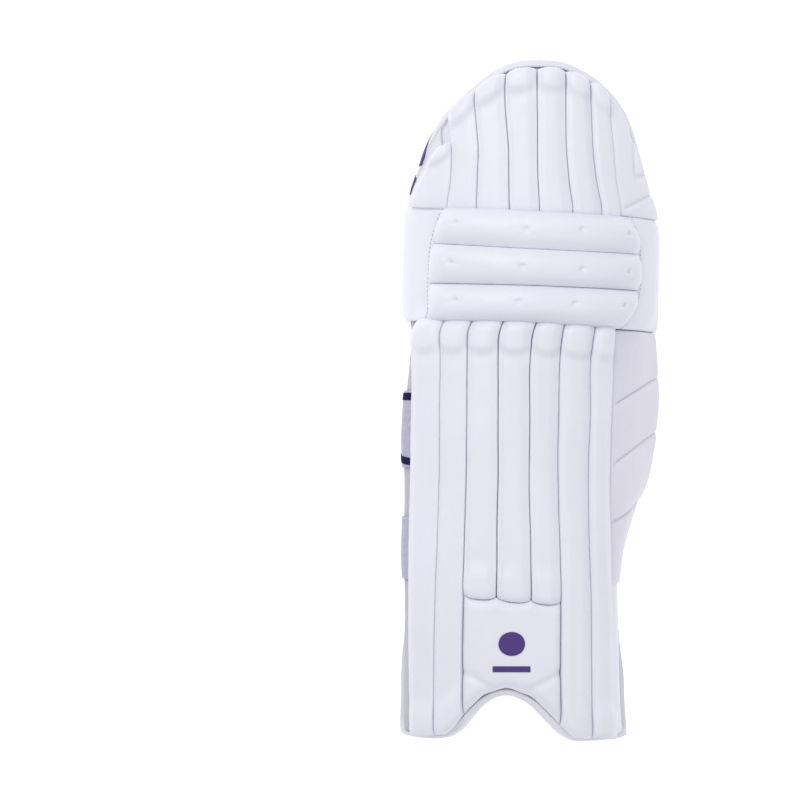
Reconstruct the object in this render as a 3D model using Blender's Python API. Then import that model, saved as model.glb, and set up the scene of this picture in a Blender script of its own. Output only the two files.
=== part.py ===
"""A cricket batting pad (leg guard), lying on its back with its front face up.

X runs to the viewer's right, Y from the foot to the thigh, and Z out of the front.
"""
import math

import bpy
import bmesh
from mathutils import Vector

# Driving sizes, in metres
pad_length = 0.682
pad_width = 0.258
crown_height = 0.095
front_radius = 0.165
foot_clearance = 0.003
backing_thickness = 0.010
seat_gap = 0.0008
seam_gap = 0.0003
binding_gap = 0.0009
shin_roll_height = 0.016
thigh_roll_height = 0.015
head_length = 0.028
bolster_height = 0.030
dimple_depth = 0.005
flap_height = 0.008
wing_height = 0.008
side_panel_height = 0.008
instep_height = 0.017
binding_width = 0.006
binding_rise = 0.003
binding_edge_share = 0.8
thigh_padding_inset = 0.0096
side_tape_inset = 0.0080
side_tape_height = 0.002
side_tape_gap = 0.0008
foot_padding_inset = 0.009
instep_padding_inset = 0.0156
strap_thickness = 0.002
strap_grip_height = 0.045
strap_lift_height = 0.016
strap_floor_margin = 0.010
trim_foot_height = 0.008
trim_top_margin = 0.001
trim_thickness = 0.0008
accent_thickness = 0.001
mark_thickness = 0.001
mark_gap = 0.0004
mark_radius = 0.012
mark_bar_length = 0.034
mark_bar_width = 0.006
disc_end_share = 0.04

front_arc_angle = math.radians(34)
crease_angle = math.radians(40)
girth_halvings = 40
settling_rounds = 4

# Cross-sections from the foot to the thigh, as shares. The centre is a share of the pad's
# width, the side radii are shares of the front radius, and the crown of the crown height.
# along, centre, left radius, left lean in degrees, right radius, right lean, crown
SECTIONS = (
    (0.000, -0.054, 0.24, 88, 0.24, 88, 0.93),
    (0.150, -0.058, 0.24, 88, 0.24, 88, 0.98),
    (0.283, -0.058, 0.24, 88, 0.24, 87, 1.00),
    (0.342, -0.058, 0.24, 88, 0.37, 82, 1.00),
    (0.371, -0.058, 0.24, 88, 0.50, 72, 1.00),
    (0.397, -0.058, 0.24, 88, 0.60, 65, 1.00),
    (0.444, -0.058, 0.24, 88, 0.62, 55, 1.00),
    (0.503, -0.056, 0.24, 88, 0.62, 52, 1.00),
    (0.545, -0.050, 0.25, 88, 0.60, 55, 1.00),
    (0.600, -0.035, 0.26, 88, 0.52, 64, 1.00),
    (0.640, 0.008, 0.40, 84, 0.40, 84, 1.00),
    (0.700, 0.012, 0.40, 84, 0.40, 84, 1.00),
    (0.800, 0.014, 0.40, 84, 0.40, 84, 0.99),
    (1.000, 0.020, 0.40, 84, 0.40, 84, 0.88),
)

# The outline. Across is a share of the girth, from -1 at the left foot of the section to
# 1 at the right one, and along is a share of the pad's length.
# along, left, right
THIGH_EDGE = (
    (0.7670, -1.000, 0.985),
    (0.7815, -0.985, 0.920),
    (0.8138, -0.890, 0.800),
    (0.8446, -0.775, 0.725),
    (0.8695, -0.725, 0.675),
    (0.9018, -0.630, 0.615),
    (0.9240, -0.560, 0.560),
    (0.9470, -0.445, 0.480),
    (0.9648, -0.360, 0.400),
    (0.9790, -0.285, 0.315),
    (0.9927, -0.180, 0.205),
    (0.9990, -0.070, 0.130),
)
# across, along
FOOT_EDGE = (
    (-1.000, 0.0220),
    (-0.860, 0.0103),
    (-0.630, 0.0059),
    (-0.515, 0.0051),
    (-0.420, 0.0081),
    (-0.350, 0.0190),
    (-0.270, 0.0410),
    (-0.176, 0.0630),
    (-0.055, 0.0733),
    (0.080, 0.0600),
    (0.190, 0.0337),
    (0.264, 0.0161),
    (0.360, 0.0015),
    (0.600, 0.0030),
    (0.700, 0.0059),
    (0.900, 0.0132),
    (1.000, 0.0220),
)

# Seams between the rolls, as shares of the girth
# along, then the eight seams from left to right
SHIN_SEAMS = (
    (0.026, -0.63, -0.512, -0.320, -0.120, 0.090, 0.265, 0.459, 0.637),
    (0.215, -0.63, -0.482, -0.296, -0.108, 0.087, 0.262, 0.444, 0.594),
    (0.397, -0.625, -0.453, -0.273, -0.096, 0.077, 0.233, 0.412, 0.556),
    (0.503, -0.625, -0.450, -0.273, -0.096, 0.077, 0.234, 0.412, 0.557),
    (0.545, -0.638, -0.453, -0.284, -0.105, 0.066, 0.226, 0.400, 0.555),
    (0.602, -0.680, -0.509, -0.308, -0.131, 0.056, 0.218, 0.402, 0.543),
)
THIGH_SEAMS = (
    (0.780, -0.80, -0.523, -0.320, -0.138, 0.034, 0.219, 0.388, 0.510),
    (0.821, -0.71, -0.496, -0.320, -0.142, 0.024, 0.195, 0.355, 0.480),
    (0.870, -0.585, -0.496, -0.320, -0.146, 0.017, 0.180, 0.339, 0.470),
    (0.943, -0.50, -0.490, -0.357, -0.172, 0.011, 0.178, 0.326, 0.451),
)
first_thigh_roll_top = 0.876
side_panel_top = 0.912
side_rows_top = 0.90
dome_middle = 0.03
middle_roll_end = 0.213

# Lines across the knee panel, from the bottom to the top, as shares of the length
# across, bottom, lower line, upper line, top
KNEE_LINES = (
    (-1.02, 0.620, 0.676, 0.735, 0.786),
    (-0.60, 0.619, 0.674, 0.733, 0.783),
    (0.00, 0.617, 0.670, 0.723, 0.780),
    (0.60, 0.606, 0.663, 0.716, 0.771),
    (1.02, 0.602, 0.660, 0.714, 0.766),
)
knee_panel_reach = 0.1
# along, left end and right end of the bolsters
BOLSTER_ENDS = (
    (0.610, -0.575, 0.580),
    (0.670, -0.600, 0.624),
    (0.735, -0.586, 0.616),
    (0.783, -0.520, 0.537),
)

# Forms of the padding. Each pair is a share of the width or length and of the height.
ROLL_ACROSS = ((0, 0.35), (0.16, 0.86), (0.5, 1), (0.84, 0.86), (1, 0.35))
WIDE_ACROSS = ((0, 0.35), (0.07, 0.6), (0.16, 0.86), (0.33, 0.95), (0.5, 1), (0.67, 0.95), (0.84, 0.86),
               (0.93, 0.6), (1, 0.35))
HEAD_FORM = ((0, 0.45), (0.25, 0.95), (0.6, 1.06), (1, 0.88), (1.4, 1))
PLAIN_END_FORM = ((0, 0.55), (0.3, 0.95), (1, 1))
BOLSTER_ACROSS = ((0, 0.45), (0.2, 0.88), (0.5, 1), (0.8, 0.88), (1, 0.45))
BOLSTER_ENDS_FORM = ((0, 0.5), (0.03, 0.84), (0.07, 1))
DIMPLES = (0.115, 0.445, 0.71, 0.935)
dimple_spread = 0.025
BETWEEN_DIMPLES = (0.25, 0.34, 0.58, 0.82)
PANEL_ACROSS = ((0, 0.45), (0.12, 0.85), (0.35, 1), (0.65, 1), (0.88, 0.85), (1, 0.4))
PANEL_ALONG = ((0, 0.45), (0.06, 0.88), (0.25, 1), (0.75, 1), (0.94, 0.88), (1, 0.45))

# Quilt lines of the wing, from its tip to the knee, where it meets the roll and at its edge
# along at the roll, along at the edge
WING_LINES = ((0.235, 0.250), (0.320, 0.355), (0.405, 0.456), (0.493, 0.537), (0.594, 0.602))
WING_BETWEEN = ((0, 0.45), (0.14, 0.88), (0.38, 1), (0.62, 1), (0.86, 0.88))

# Middles of the marks on the instep pad, as shares of the length
mark_disc_along = 0.147
mark_bar_along = 0.110

# Straps, as shares of the length
calf_strap_low = 0.403
calf_strap_high = 0.517
ankle_strap_low = 0.239
ankle_strap_high = 0.331
trim_width_share = 0.011
trim_inset_share = 0.004

# Rows of the tape beside the first thigh roll, as shares of the length
SIDE_TAPE_ROWS = (0.792, 0.8138, 0.8292, 0.8446, 0.857, 0.8695, 0.8857, 0.896)

# Rows of the two dark accents on the left binding of the thigh, as shares of the length
UPPER_ACCENT_ROWS = (0.848, 0.857, 0.8695, 0.8857, 0.897)
LOWER_ACCENT_ROWS = (0.8138, 0.8292, 0.837)
accent_reach = 0.8

# Where the sections change, as shares of the length. Every long piece has a row at each.
BODY_STATIONS = (0.150, 0.215, 0.283, 0.342, 0.371, 0.397, 0.444, 0.503, 0.545)
BETWEEN_STATIONS = (0.313, 0.420, 0.473, 0.524, 0.563, 0.582)
KNEE_STATIONS = (0.600, 0.613, 0.626, 0.640, 0.700)
FLAP_STATIONS = (0.640, 0.670, 0.700, 0.735)

# Columns of the backing on one side, closest where it bends most
HALF_COLUMNS = (0, 0.1, 0.2, 0.3, 0.4, 0.5, 0.57, 0.63, 0.69, 0.75, 0.81, 0.87, 1)
COLUMNS = [-place for place in reversed(HALF_COLUMNS)] + list(HALF_COLUMNS[1:])
ROLL_NUMBERS = range(1, 8)

WHITE = (0.86, 0.86, 0.88)
OFF_WHITE = (0.80, 0.79, 0.81)
LAVENDER_GREY = (0.62, 0.60, 0.68)
PURPLE = (0.065, 0.022, 0.215)
INDIGO = (0.02, 0.012, 0.10)


def make_material(name, color, roughness):
    """Return a Principled material of one colour."""
    material = bpy.data.materials.new(name)
    material.use_nodes = True
    shader = material.node_tree.nodes["Principled BSDF"]
    shader.inputs["Base Color"].default_value = (*color, 1)
    shader.inputs["Roughness"].default_value = roughness
    shader.inputs["Metallic"].default_value = 0
    return material


def between(table, key, column):
    """Read a column of a table at a key, in straight lines between its rows."""
    if key <= table[0][0]:
        return table[0][column]
    for low, high in zip(table, table[1:]):
        if key <= high[0]:
            share = (key - low[0]) / (high[0] - low[0])
            return low[column] + share * (high[column] - low[column])
    return table[-1][column]


def section_point(along, arc, height):
    """Return the point at a signed arc length from the crown, a height above the backing."""
    side = 3 if arc > 0 else 1
    side_radius = between(SECTIONS, along, side + 1) * front_radius
    lean = math.radians(between(SECTIONS, along, side + 2))
    front_arc = front_radius * front_arc_angle
    side_arc = side_radius * (lean - front_arc_angle)
    length = abs(arc)
    angle = min(length, front_arc) / front_radius
    out = front_radius * math.sin(angle)
    drop = front_radius * (1 - math.cos(angle))
    if length > front_arc:
        angle += min(length - front_arc, side_arc) / side_radius
        out += side_radius * (math.sin(angle) - math.sin(front_arc_angle))
        drop += side_radius * (math.cos(front_arc_angle) - math.cos(angle))
    straight = max(length - front_arc - side_arc, 0)
    out += straight * math.cos(lean)
    drop += straight * math.sin(lean)
    sign = 1 if arc > 0 else -1
    x = between(SECTIONS, along, 1) * pad_width + sign * (out + height * math.sin(angle))
    z = between(SECTIONS, along, 6) * crown_height - drop + height * math.cos(angle)
    return Vector((x, (along - 0.5) * pad_length, z))


def girth(along, sign, level):
    """Return the arc length from the crown down to a level above the floor."""
    low = 0.0
    high = 2 * (crown_height + front_radius)
    for _ in range(girth_halvings):
        middle = (low + high) / 2
        if section_point(along, sign * middle, 0).z > level:
            low = middle
        else:
            high = middle
    return low


def edge_girth(along, sign):
    """Return the arc length from the crown to the foot of the backing on one side."""
    lean = math.radians(between(SECTIONS, along, 5 if sign > 0 else 3))
    return girth(along, sign, foot_clearance + backing_thickness * math.cos(lean))


def front_point(along, across, height):
    """Return the point at shares of the length and the girth, a height above the backing."""
    sign = 1 if across > 0 else -1
    return section_point(along, across * edge_girth(along, sign), height)


def floor_share(along, sign):
    """Return the share of the girth at which the section reaches the floor."""
    return sign * girth(along, sign, 0) / edge_girth(along, sign)


def share_of(length, along, sign):
    """Turn a length around the section into a share of its girth."""
    return length / edge_girth(along, sign)


def grid_solid(name, top, bottom, material):
    """Make a closed solid between two grids of points with the same rows and columns."""
    mesh = bpy.data.meshes.new(name)
    form = bmesh.new()
    rows = len(top)
    columns = len(top[0])
    upper = [[form.verts.new(point) for point in row] for row in top]
    lower = [[form.verts.new(point) for point in row] for row in bottom]
    for i in range(rows - 1):
        for j in range(columns - 1):
            form.faces.new((upper[i][j], upper[i][j + 1], upper[i + 1][j + 1], upper[i + 1][j]))
            form.faces.new((lower[i][j], lower[i + 1][j], lower[i + 1][j + 1], lower[i][j + 1]))
    for i in range(rows - 1):
        form.faces.new((upper[i][0], upper[i + 1][0], lower[i + 1][0], lower[i][0]))
        form.faces.new((upper[i][-1], lower[i][-1], lower[i + 1][-1], upper[i + 1][-1]))
    for j in range(columns - 1):
        form.faces.new((upper[0][j], lower[0][j], lower[0][j + 1], upper[0][j + 1]))
        form.faces.new((upper[-1][j], upper[-1][j + 1], lower[-1][j + 1], lower[-1][j]))
    bmesh.ops.recalc_face_normals(form, faces=form.faces)
    form.to_mesh(mesh)
    form.free()
    mesh.materials.append(material)
    mesh.shade_smooth()
    mesh.set_sharp_from_angle(angle=crease_angle)
    piece = bpy.data.objects.new(name, mesh)
    bpy.context.scene.collection.objects.link(piece)
    return piece


def padded_panel(name, rows, heights, material):
    """Seat a panel on the backing. Rows hold shares, and heights what rises above the seat."""
    top = []
    bottom = []
    for row, row_heights in zip(rows, heights):
        top.append([front_point(along, across, seat_gap + height)
                    for (along, across), height in zip(row, row_heights)])
        bottom.append([front_point(along, across, seat_gap) for along, across in row])
    return grid_solid(name, top, bottom, material)


def inset_line(points, inset):
    """Move a line of (along, across) shares to its left by a length."""
    moved = []
    for i, (along, across) in enumerate(points):
        before = points[max(i - 1, 0)]
        after = points[min(i + 1, len(points) - 1)]
        sign = 1 if across > 0 else -1
        reach = edge_girth(along, sign)
        run_along = (after[0] - before[0]) * pad_length
        run_across = (after[1] - before[1]) * reach
        run = math.hypot(run_along, run_across)
        moved.append((along + inset * run_across / run / pad_length,
                      across - inset * run_along / run / reach))
    return moved


def thigh_edge_rows():
    """Return the rows of the thigh's edge, with more rows where it bends down the sides."""
    rows = []
    for low, high in zip(THIGH_EDGE, THIGH_EDGE[1:]):
        rows.append(low)
        if low[0] < side_rows_top:
            rows.append(tuple((a + b) / 2 for a, b in zip(low, high)))
    return [*rows, THIGH_EDGE[-1]]


def thigh_outline():
    """Return the thigh's outline from its right foot over the dome to its left foot."""
    right = [(along, right) for along, left, right in thigh_edge_rows()]
    left = [(along, left) for along, left, right in reversed(thigh_edge_rows())]
    return right + left


def foot_outline():
    """Return the foot's outline from left to right, at the columns of the backing."""
    return [(between(FOOT_EDGE, across, 1), across) for across in COLUMNS]


def backing_rows():
    """Return the rows of the backing from the foot edge to the top of the thigh."""
    foot = inset_line(foot_outline(), binding_width)
    foot_zone_top = BODY_STATIONS[0]
    rows = []
    for blend in (0, 0.12, 0.3, 0.6):
        row = []
        for (edge_along, edge_across), (_, across) in zip(foot, foot_outline()):
            row.append((edge_along + blend * (foot_zone_top - edge_along),
                        edge_across + blend * (across - edge_across)))
        rows.append(row)
    for along in sorted(BODY_STATIONS + BETWEEN_STATIONS + KNEE_STATIONS):
        rows.append([(along, across) for across in COLUMNS])
    edge = inset_line(thigh_outline(), binding_width)
    for i in range(len(thigh_edge_rows())):
        right = edge[i]
        left = edge[-1 - i]
        row = []
        for across in COLUMNS:
            share = (across + 1) / 2
            row.append((left[0] + share * (right[0] - left[0]), left[1] + share * (right[1] - left[1])))
        rows.append(row)
    return rows


def make_backing(material):
    """Make the curved sheet that everything is sewn to, open behind for the leg."""
    rows = backing_rows()
    top = [[front_point(along, across, 0) for along, across in row] for row in rows]
    bottom = [[front_point(along, across, -backing_thickness) for along, across in row]
              for row in rows]
    grid_solid("back_panel", top, bottom, material)


def binding_lines(outline):
    """Return the inner edge, the crest and the outer edge of a binding, beyond the knee panel."""
    margin = binding_width / 2 / pad_length
    lines = []
    for inner, outer in zip(inset_line(outline, binding_width - binding_gap), outline):
        if 0 < knee_line(outer[1], 4) + margin - outer[0] < knee_panel_reach:
            continue
        crest = ((inner[0] + outer[0]) / 2, (inner[1] + outer[1]) / 2)
        lines.append((inner, crest, outer))
    return lines


def make_binding(name, outline, material):
    """Make the folded tape around an edge, as far as it isn't under the knee panel."""
    top = []
    bottom = []
    for inner, crest, outer in binding_lines(outline):
        top.append([front_point(*inner, binding_rise), front_point(*crest, binding_rise),
                    front_point(*outer, 0)])
        bottom.append([front_point(*inner, -backing_thickness),
                       front_point(*crest, -backing_thickness),
                       front_point(*outer, -backing_thickness * binding_edge_share)])
    grid_solid(name, top, bottom, material)


def thigh_limit(along, side, reach):
    """Return the share at which the padding stops, a reach inside the thigh's outline."""
    share = between(THIGH_EDGE, along, side)
    sign = 1 if share > 0 else -1
    return share - sign * share_of(reach, along, sign)


def dome_along(across):
    """Return how far along the dome's outline lies at a share of the girth."""
    side = 2 if across > dome_middle else 1
    table = sorted((abs(row[side]), row[0]) for row in THIGH_EDGE)
    return between(table, abs(across), 1)


def knee_line(across, column):
    """Return how far along a line of the knee panel lies at a share of the girth."""
    return between(KNEE_LINES, across, column)


def roll_rows(left, right, low, high, across_form, low_form):
    """Return rows of shares and their height shares for a roll between two seams."""
    middle = (left(low(0)) + right(low(0))) / 2
    head = min(head_length / pad_length, 0.35 * (high(middle) - low(middle)))
    first = low(middle) + (low_form[-1][0] + 0.5) * head
    last = high(middle) - (HEAD_FORM[-1][0] + 0.5) * head
    stations = [(low, distance * head, form) for distance, form in low_form]
    stations += [(None, along, 1) for along in BODY_STATIONS if first < along < last]
    stations += [(high, -distance * head, form) for distance, form in reversed(HEAD_FORM)]
    rows = []
    shares = []
    for end, distance, form in stations:
        row = []
        for place, _ in across_form:
            across = middle
            for _ in range(settling_rounds):
                along = distance + (end(across) if end else 0)
                across = left(along) + place * (right(along) - left(along))
            row.append((along, across))
        rows.append(row)
        shares.append([form * share for _, share in across_form])
    return rows, shares


def make_roll(name, seams, index, low, high, height, low_form, material):
    """Make one roll between two seams of a table, from a low edge to a high edge."""
    def left(along):
        return between(seams, along, index) + share_of(seam_gap / 2, along, -1)

    def right(along):
        return between(seams, along, index + 1) - share_of(seam_gap / 2, along, -1)

    across_form = WIDE_ACROSS if index == 1 else ROLL_ACROSS
    rows, shares = roll_rows(left, right, low, high, across_form, low_form)
    heights = [[height * share for share in row] for row in shares]
    padded_panel(name, rows, heights, material)


def make_shin_rolls(material):
    """Make the seven rolls of the shin. The middle three end above the instep."""
    half_gap = seam_gap / pad_length

    def high(across):
        return knee_line(across, 1) - half_gap

    def foot_end(across):
        return between(FOOT_EDGE, across, 1) + foot_padding_inset / pad_length

    def middle_end(across):
        return middle_roll_end

    for number in ROLL_NUMBERS:
        low = middle_end if number in (3, 4, 5) else foot_end
        make_roll(f"shin_roll_{number}", SHIN_SEAMS, number, low, high, shin_roll_height,
                  HEAD_FORM, material)


def make_thigh_rolls(material):
    """Make the seven rolls of the thigh, whose heads follow the dome."""
    def low(across):
        return knee_line(across, 4) + seam_gap / pad_length

    def high(across):
        return dome_along(across) - thigh_padding_inset / pad_length

    def first_high(across):
        return first_thigh_roll_top

    for number in ROLL_NUMBERS:
        top = first_high if number == 1 else high
        make_roll(f"thigh_roll_{number}", THIGH_SEAMS, number, low, top, thigh_roll_height,
                  PLAIN_END_FORM, material)


def bolster_columns():
    """Return the columns of a bolster: its ends, its dimples and what lies between."""
    places = [place for place, _ in BOLSTER_ENDS_FORM]
    places += [1 - place for place, _ in BOLSTER_ENDS_FORM]
    for centre in DIMPLES:
        places += [centre - dimple_spread, centre, centre + dimple_spread]
    return sorted([*places, *BETWEEN_DIMPLES])


def make_bolsters(material):
    """Make the three bolsters across the knee, with their dimples."""
    gap = seam_gap / pad_length
    for number in (1, 2, 3):
        rows = []
        heights = []
        for width_share, form in BOLSTER_ACROSS:
            row = []
            row_heights = []
            for place in bolster_columns():
                across = 1.2 * place - 0.6
                for _ in range(settling_rounds):
                    low = knee_line(across, number) + gap / 2
                    high = knee_line(across, number + 1) - gap / 2
                    along = low + width_share * (high - low)
                    start = between(BOLSTER_ENDS, along, 1)
                    end = between(BOLSTER_ENDS, along, 2)
                    across = start + place * (end - start)
                row.append((along, across))
                end_form = between(BOLSTER_ENDS_FORM, min(place, 1 - place), 1)
                height = bolster_height * form * end_form
                if place in DIMPLES and width_share == 0.5:
                    height -= dimple_depth
                row_heights.append(height)
            rows.append(row)
            heights.append(row_heights)
        padded_panel(f"knee_bolster_{number}", rows, heights, material)


def make_flap(name, sign, material):
    """Make the side of the knee panel, which turns down to the floor."""
    column = 2 if sign > 0 else 1
    columns = 9
    rows = []
    heights = []
    forms = [*PANEL_ALONG[:2], *((station, 1) for station in FLAP_STATIONS), *PANEL_ALONG[-2:]]
    for along_share, form in forms:
        row = []
        row_heights = []
        for j in range(columns + 1):
            place = j / columns
            across = sign * 0.6
            for _ in range(settling_rounds):
                low = knee_line(across, 1) + seam_gap / pad_length
                high = knee_line(across, 4) - seam_gap / pad_length
                along = low + along_share * (high - low)
                if along_share in FLAP_STATIONS:
                    along = along_share
                start = between(BOLSTER_ENDS, along, column)
                start += sign * share_of(seat_gap, along, sign)
                across = start + place * (floor_share(along, sign) - start)
            row.append((along, across))
            row_heights.append(flap_height * form * between(PANEL_ACROSS, place, 1))
        rows.append(row)
        heights.append(row_heights)
    padded_panel(name, rows, heights, material)


def make_wing(material):
    """Make the quilted wing beside the shin, which slopes down to the floor."""
    columns = 8
    lines = []
    for start, end in zip(WING_LINES, WING_LINES[1:]):
        for share, form in WING_BETWEEN:
            lines.append((start[0] + share * (end[0] - start[0]),
                          start[1] + share * (end[1] - start[1]), form))
    lines.append((*WING_LINES[-1], WING_BETWEEN[0][1]))
    rows = []
    heights = []
    for at_roll, at_edge, form in lines:
        row = []
        row_heights = []
        for j in range(columns + 1):
            place = j / columns
            along = at_roll + place * (at_edge - at_roll)
            start = between(SHIN_SEAMS, along, 8) + share_of(seat_gap, along, 1)
            row.append((along, start + place * (1 - start)))
            row_heights.append(wing_height * form * between(PANEL_ACROSS, place, 1))
        rows.append(row)
        heights.append(row_heights)
    padded_panel("side_wing", rows, heights, material)


def make_side_panel(material):
    """Make the flat panel between the last thigh roll and the binding."""
    columns = 6
    rows = []
    heights = []
    for along_share in (0, 0.06, 0.18, 0.3, 0.42, 0.54, 0.66, 0.8, 0.94, 1):
        form = between(PANEL_ALONG, along_share, 1)
        row = []
        row_heights = []
        for j in range(columns + 1):
            place = j / columns
            across = 0.7
            for _ in range(settling_rounds):
                low = knee_line(across, 4) + seam_gap / pad_length
                along = low + along_share * (side_panel_top - low)
                start = between(THIGH_SEAMS, along, 8) + share_of(seat_gap, along, 1)
                across = start + place * (thigh_limit(along, 2, thigh_padding_inset) - start)
            row.append((along, across))
            row_heights.append(side_panel_height * form * between(PANEL_ACROSS, place, 1))
        rows.append(row)
        heights.append(row_heights)
    padded_panel("thigh_side_panel", rows, heights, material)


def instep_sides(along):
    """Return the left and right side of the instep pad, inside the rolls beside it."""
    gap = share_of(seam_gap, along, 1)
    return between(SHIN_SEAMS, along, 3) + gap, between(SHIN_SEAMS, along, 6) - gap


def instep_ends(across):
    """Return the lower and upper end of the instep pad at a share of the girth."""
    low = between(FOOT_EDGE, across, 1) + instep_padding_inset / pad_length
    return low, middle_roll_end - seam_gap / pad_length


def instep_top(along, across):
    """Return the height of the instep pad's face over the backing."""
    low, high = instep_ends(across)
    start, end = instep_sides(along)
    form = between(PANEL_ALONG, (along - low) / (high - low), 1)
    return seat_gap + instep_height * form * between(PANEL_ACROSS, (across - start) / (end - start), 1)


def make_instep(material):
    """Make the pad over the foot arch."""
    columns = 12
    rows = []
    heights = []
    for along_share, form in PANEL_ALONG:
        row = []
        row_heights = []
        for j in range(columns + 1):
            place = j / columns
            across = 0
            for _ in range(settling_rounds):
                low, high = instep_ends(across)
                along = low + along_share * (high - low)
                start, end = instep_sides(along)
                across = start + place * (end - start)
            row.append((along, across))
            row_heights.append(instep_height * form * between(PANEL_ACROSS, place, 1))
        rows.append(row)
        heights.append(row_heights)
    padded_panel("instep_pad", rows, heights, material)


def strap_line(along, height):
    """Return the line of a strap, from the left wall around the back to the right wall."""
    corner = strap_thickness + seat_gap
    line = []
    grip = girth(along, -1, strap_grip_height)
    foot = girth(along, -1, corner)
    steps = 5
    for i in range(steps + 1):
        arc = grip + (foot - grip) * i / steps
        line.append(section_point(along, -arc, seat_gap + height))
    outer_x = line[-1].x
    inner_x = section_point(along, girth(along, 1, corner), -backing_thickness - seat_gap).x
    level = strap_thickness - height
    radius = corner - level
    for i in range(1, 4):
        angle = math.pi / 2 * i / 3
        line.append(Vector((outer_x + radius * (1 - math.cos(angle)), line[0].y,
                            corner - radius * math.sin(angle))))
    floor_steps = 6
    start_x = line[-1].x
    end_x = inner_x - corner - strap_floor_margin
    for i in range(1, floor_steps + 1):
        line.append(Vector((start_x + (end_x - start_x) * i / floor_steps, line[0].y, level)))
    lift = girth(along, 1, strap_lift_height)
    grip = girth(along, 1, strap_grip_height)
    depth = -backing_thickness - seat_gap - (strap_thickness - height)
    for i in range(5):
        arc = lift + (grip - lift) * i / 4
        line.append(section_point(along, arc, depth))
    return line


def make_strap(name, low, high, material):
    """Make a strap that closes behind the leg and lies flat on the floor."""
    rows = 5
    top = []
    bottom = []
    for i in range(rows):
        along = low + (high - low) * i / (rows - 1)
        top.append(strap_line(along, strap_thickness))
        bottom.append(strap_line(along, 0))
    grid_solid(name, top, bottom, material)


def make_trim(name, low, high, material):
    """Make a dark ribbon on the outside of the calf strap, above the floor."""
    top = []
    bottom = []
    for along in (low, high):
        grip = girth(along, -1, strap_grip_height - trim_top_margin)
        foot = girth(along, -1, trim_foot_height)
        base = seat_gap + strap_thickness + seam_gap
        arcs = [grip + (foot - grip) * i / 5 for i in range(6)]
        top.append([section_point(along, -arc, base + trim_thickness) for arc in arcs])
        bottom.append([section_point(along, -arc, base) for arc in arcs])
    grid_solid(name, top, bottom, material)


def make_side_tape(material):
    """Make the flat tape between the left binding of the thigh and the first roll."""
    rows = []
    heights = []
    for along in SIDE_TAPE_ROWS:
        start = thigh_limit(along, 1, side_tape_inset)
        end = between(THIGH_SEAMS, along, 1) - share_of(side_tape_gap, along, -1)
        rows.append([(along, start), (along, (start + end) / 2), (along, end)])
        heights.append([side_tape_height] * 3)
    padded_panel("thigh_side_tape", rows, heights, material)


def make_accent(name, stations, material):
    """Make a dark accent on the left binding of the thigh."""
    lines = [line for line in binding_lines(thigh_outline()) if line[2][1] < 0]
    tables = [sorted((line[2][0], *line[edge]) for line in lines) for edge in range(3)]
    top = []
    bottom = []
    for station in stations:
        inner, crest, outer = [(between(table, station, 1), between(table, station, 2))
                               for table in tables]
        edge = [a + accent_reach * (b - a) for a, b in zip(crest, outer)]
        places = ((inner, 1), (crest, 1), (edge, 1 - accent_reach))
        bottom.append([front_point(*place, binding_rise * rise + mark_gap)
                       for place, rise in places])
        top.append([front_point(*place, binding_rise * rise + mark_gap + accent_thickness)
                    for place, rise in places])
    grid_solid(name, top, bottom, material)


def make_mark(name, centre_along, size_along, size_across, is_round, material):
    """Make a plain mark on the instep pad, a disc or a bar."""
    steps = 4
    columns = 4
    top = []
    bottom = []
    middle = sum(instep_sides(centre_along)) / 2
    for i in range(steps + 1):
        offset = 2 * i / steps - 1
        reach = math.sqrt(max(1 - offset * offset, disc_end_share)) if is_round else 1
        along = centre_along + offset * size_along / 2 / pad_length
        top_row = []
        bottom_row = []
        for j in range(columns + 1):
            across = middle + (j / columns - 0.5) * reach * share_of(size_across, along, 1)
            base = instep_top(along, across) + mark_gap
            bottom_row.append(front_point(along, across, base))
            top_row.append(front_point(along, across, base + mark_thickness))
        top.append(top_row)
        bottom.append(bottom_row)
    grid_solid(name, top, bottom, material)


def build():
    """Build every piece of the pad."""
    for old in list(bpy.data.objects):
        bpy.data.objects.remove(old)
    leather = make_material("white_leather", WHITE, 0.5)
    lining = make_material("back_lining", OFF_WHITE, 0.8)
    tape = make_material("edge_tape", WHITE, 0.6)
    webbing = make_material("strap_fabric", LAVENDER_GREY, 0.85)
    trim = make_material("strap_trim", INDIGO, 0.6)
    purple = make_material("accent_purple", PURPLE, 0.5)

    make_backing(lining)
    make_binding("thigh_binding", thigh_outline(), tape)
    make_binding("foot_binding", foot_outline(), tape)
    make_shin_rolls(leather)
    make_thigh_rolls(leather)
    make_bolsters(leather)
    make_flap("knee_flap_left", -1, leather)
    make_flap("knee_flap_right", 1, leather)
    make_wing(leather)
    make_side_panel(leather)
    make_instep(leather)
    make_strap("calf_strap", calf_strap_low, calf_strap_high, webbing)
    make_strap("ankle_strap", ankle_strap_low, ankle_strap_high, webbing)
    low = calf_strap_low + trim_inset_share
    high = calf_strap_high - trim_inset_share
    make_trim("strap_trim_low", low, low + trim_width_share, trim)
    make_trim("strap_trim_high", high - trim_width_share, high, trim)
    make_side_tape(tape)
    make_accent("thigh_accent_upper", UPPER_ACCENT_ROWS, purple)
    make_accent("thigh_accent_lower", LOWER_ACCENT_ROWS, purple)
    make_mark("instep_mark_disc", mark_disc_along, 2 * mark_radius, 2 * mark_radius, True, purple)
    make_mark("instep_mark_bar", mark_bar_along, mark_bar_width, mark_bar_length, False, purple)


build()
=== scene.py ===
"""A white cricket batting pad that lies on its back, dressed in padded leather.

X runs to the viewer's right, Y from the foot to the thigh, and Z out of the front.
"""
import math

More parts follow.
